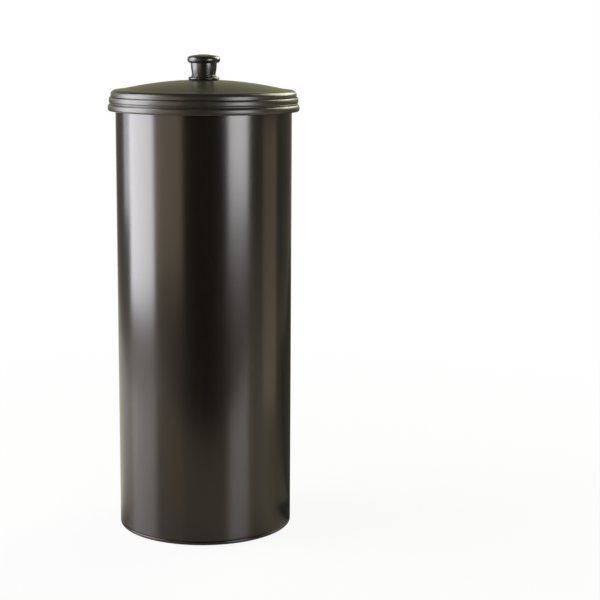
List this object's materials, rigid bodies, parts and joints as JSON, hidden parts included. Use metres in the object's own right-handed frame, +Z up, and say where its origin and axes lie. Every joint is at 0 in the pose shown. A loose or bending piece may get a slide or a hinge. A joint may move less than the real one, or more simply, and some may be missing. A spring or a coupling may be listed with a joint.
{
  "type": "toilet roll holder",
  "caption": "Tall round canister for a stack of spare toilet rolls, with a ribbed base cap on pads and a domed lift-off lid that has a stepped, banded rim and a turned knob.",
  "frame": {"origin": "centre of the circle of pads, on the surface that the canister stands on", "axes": "+Z up along the canister's axis, +X to the picture's right, +Y away from its camera"},
  "size_m": [0.1588, 0.1588, 0.3993],
  "materials": {
    "satin_bronze": "satin dark bronze metallic lacquer on moulded plastic",
    "gloss_bronze": "smooth, glossier dark bronze",
    "pad_rubber": "matt black",
    "insert_brass": "plain turned",
    "zinc_steel": "bright zinc plate"
  },
  "bodies": {
    "canister": {"canister_tube": "satin_bronze", "base_cap": "satin_bronze", "foot_pad_1": "pad_rubber", "foot_pad_2": "pad_rubber", "foot_pad_3": "pad_rubber", "foot_pad_4": "pad_rubber"},
    "lid": {"lid_shell": "satin_bronze", "knob": "gloss_bronze", "knob_insert": "insert_brass", "knob_screw": "zinc_steel", "knob_washer": "zinc_steel"}
  },
  "joints": [
    {"name": "lid_lift", "type": "slide", "parent": "canister", "child": "lid", "axis": [0, 0, 1], "range_m": [0, 0.2]}
  ]
}
